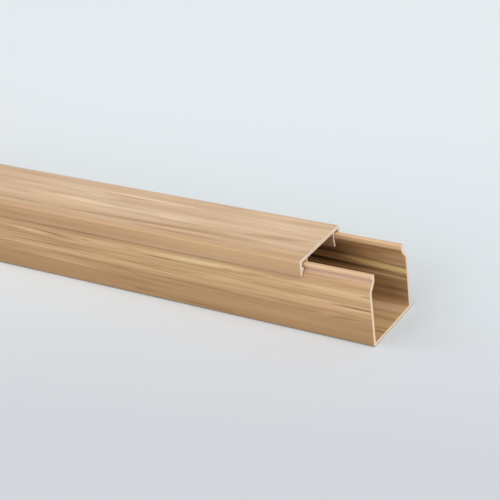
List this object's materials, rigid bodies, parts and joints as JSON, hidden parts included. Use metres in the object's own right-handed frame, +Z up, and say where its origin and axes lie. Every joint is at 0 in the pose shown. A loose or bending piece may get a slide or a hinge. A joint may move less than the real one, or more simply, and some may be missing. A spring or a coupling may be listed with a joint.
{
  "type": "cable trunking",
  "caption": "Square wiring duct of streaked wood-effect plastic: a U-shaped channel with a clip-on lid that slides along it, for running cables on a wall.",
  "frame": {"origin": "middle of the underside of the base channel, on the face that goes against the wall or lies on the floor", "axes": "+X along the length, towards the end that the lid stands back from; +Y across the width; +Z up, from the channel's floor to the lid"},
  "size_m": [2.0375, 0.0402, 0.0406],
  "materials": {
    "base_pvc": "satin",
    "lid_pvc": "satin"
  },
  "bodies": {
    "base": {"base_channel": "base_pvc"},
    "lid": {"snap_lid": "lid_pvc"}
  },
  "joints": [
    {"name": "lid_slide", "type": "slide", "parent": "base", "child": "lid", "axis": [1, 0, 0], "range_m": [-1.8625, 1.9375]}
  ]
}
